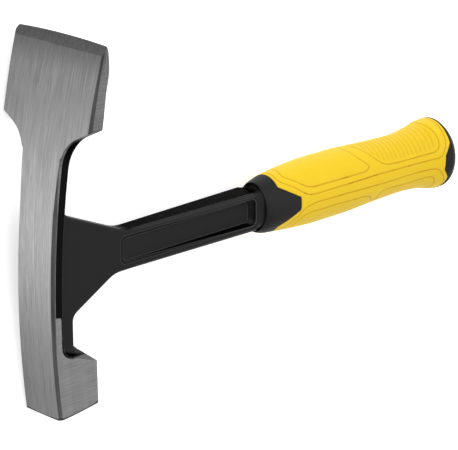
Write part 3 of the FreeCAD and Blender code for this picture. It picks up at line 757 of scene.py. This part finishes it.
def yellow_rubber():
    """Soft yellow moulding: a fine matt grain, and painted shade darkening the grooves."""
    n = Nodes("yellow_rubber")
    where = n.tool_space()[0]
    groove_and_painted_shade = n.node("ShaderNodeAttribute", attribute_name="groove_and_painted_shade").outputs["Fac"]
    cloud = n.noise(where, 0.05, 3.0)
    fine = n.noise(where, 3.2, 3.0, 0.7)
    base = n.mix_colour(cloud, *YELLOW)
    base = n.mix_colour(n.mul(fine, 0.22), base, YELLOW_GRAIN)
    # Painted shade: grooves, rib valleys, hatching and seams take the darker colour.
    colour = n.mix_colour(n.mul(groove_and_painted_shade, 0.80), base, YELLOW_GROOVE_SHADE)
    return n.shader(
        Base_Color=colour,
        Roughness=n.add(0.46, n.mul(fine, 0.14)),
        Specular_IOR_Level=0.25,
        Subsurface_Weight=0.05,
        Subsurface_Scale=0.002,
        Normal=n.bump(fine, 0.00005, 0.45),
    )


def black_rubber():
    """Matt black moulding with a fine grain, near black with painted shade in its seams and the
    collar's mouth.
    """
    n = Nodes("black_rubber")
    where = n.tool_space()[0]
    painted_crease_shade = n.node("ShaderNodeAttribute", attribute_name="groove_and_painted_shade").outputs["Fac"]
    fine = n.noise(where, 4.5, 3.0, 0.7)
    cloud = n.noise(where, 0.12, 2.0)
    colour = n.mix_colour(painted_crease_shade, n.mix_colour(cloud, *BLACK), BLACK_CREASE_SHADE)
    return n.shader(
        Base_Color=colour,
        Roughness=n.add(0.50, n.mul(fine, 0.16)),
        Specular_IOR_Level=0.25,
        Normal=n.bump(fine, 0.00007, 0.6),
    )


def floor_material():
    """Matt white table top."""
    n = Nodes("pale_floor")
    cloud = n.noise(n.tool_space()[0], 0.01, 2.0)
    return n.shader(
        Base_Color=n.mix_colour(cloud, *WHITE),
        Roughness=0.8,
        Emission_Color=(1, 1, 1, 1),
        Emission_Strength=FLOOR_GLOW,
    )


def dress(piece, material):
    piece.data.materials.clear()
    piece.data.materials.append(material)


# ---- pieces ------------------------------------------------------------------------------
dress(frame["nodes"]["forged_hammer"], steel())

sleeve = make_sleeve()
dress(sleeve, yellow_rubber())
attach(sleeve, "root")
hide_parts("grip_sleeve")

core = make_core()
dress(core, black_rubber())
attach(core, "root")
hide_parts("grip_core")


# ---- floor, light and camera ---------------------------------------------------------------
FLOOR_HALF = 6.0              # metres
DARK_SIDE = Vector((-0.72, -0.35, 0.59))   # the studio is darkest this way
DARK_BLEND = (0.1, 0.9)
WALL_TOP = 0.16               # the pale wall behind the floor ends at this slope
SENSOR, LENS = 36.0, 189.474
CAMERA_PLACE = (-652.0, 365.2, 794.1)   # tool frame, mm
CAMERA_RIGHT = (0.715, -0.003, 0.699)
CAMERA_UP = (0.223, 0.948, -0.225)


def make_floor():
    half = FLOOR_HALF
    corners = [(-half, -half, 0), (half, -half, 0), (half, half, 0), (-half, half, 0)]
    mesh = bpy.data.meshes.new("floor")
    mesh.from_pydata(corners, [], [(0, 1, 2, 3)])
    floor = bpy.data.objects.new("floor", mesh)
    bpy.context.scene.collection.objects.link(floor)
    dress(floor, floor_material())


def area_light(name, position, target, size, power):
    """A soft panel; position and target are in the row frame, metres."""
    data = bpy.data.lights.new(name, "AREA")
    data.shape = "RECTANGLE"
    data.size, data.size_y = size
    data.energy = power
    lamp = bpy.data.objects.new(name, data)
    lamp.location = position
    lamp.rotation_euler = (Vector(target) - Vector(position)).to_track_quat("-Z", "Y").to_euler()
    bpy.context.scene.collection.objects.link(lamp)


def make_world(dark, bright, wall):
    """A studio that is dark on the head's side, brighter over the handle and pale at the floor."""
    world = bpy.data.worlds.new("studio")
    world.use_nodes = True
    tree = world.node_tree
    back = tree.nodes["Background"]
    direction = tree.nodes.new("ShaderNodeTexCoord").outputs["Generated"]
    facing = tree.nodes.new("ShaderNodeVectorMath")
    facing.operation = "DOT_PRODUCT"
    tree.links.new(direction, facing.inputs[0])
    facing.inputs[1].default_value = DARK_SIDE.normalized()
    height = tree.nodes.new("ShaderNodeSeparateXYZ")
    tree.links.new(direction, height.inputs[0])

    def ramp(source, low, high, start):
        made = tree.nodes.new("ShaderNodeMapRange")
        made.interpolation_type = "SMOOTHSTEP"
        tree.links.new(source, made.inputs["Value"])
        made.inputs["From Min"].default_value = low
        made.inputs["From Max"].default_value = high
        made.inputs["To Min"].default_value = start
        return made

    sky = ramp(facing.outputs["Value"], *DARK_BLEND, bright)
    sky.inputs["To Max"].default_value = dark
    whole = ramp(height.outputs["Z"], WALL_TOP / 2, WALL_TOP, wall)
    tree.links.new(sky.outputs[0], whole.inputs["To Max"])
    tree.links.new(whole.outputs[0], back.inputs[1])
    back.inputs[0].default_value = (1, 1, 1, 1)
    bpy.context.scene.world = world


def make_camera():
    data = bpy.data.cameras.new("camera")
    data.sensor_width = SENSOR
    data.lens = LENS
    data.clip_start, data.clip_end = 0.01, 50
    camera = bpy.data.objects.new("camera", data)
    right = (tool_turn @ Vector(CAMERA_RIGHT)).normalized()
    upward = tool_turn @ Vector(CAMERA_UP)
    backward = right.cross(upward).normalized()
    upward = backward.cross(right)
    turn = Matrix((right, upward, backward)).transposed().to_4x4()
    camera.matrix_world = Matrix.Translation(place(*CAMERA_PLACE)) @ turn
    bpy.context.scene.collection.objects.link(camera)
    bpy.context.scene.camera = camera


make_floor()
make_camera()
make_world(dark=0.12, bright=0.60, wall=0.88)
area_light("top", position=(0.05, 0.05, 1.5), target=(0.02, 0, 0), size=(2.0, 2.0), power=15)
area_light("front", position=(-0.75, 0.75, 1.0), target=(0.05, 0, 0), size=(0.9, 0.9), power=6)
bpy.context.scene.view_settings.view_transform = "Standard"
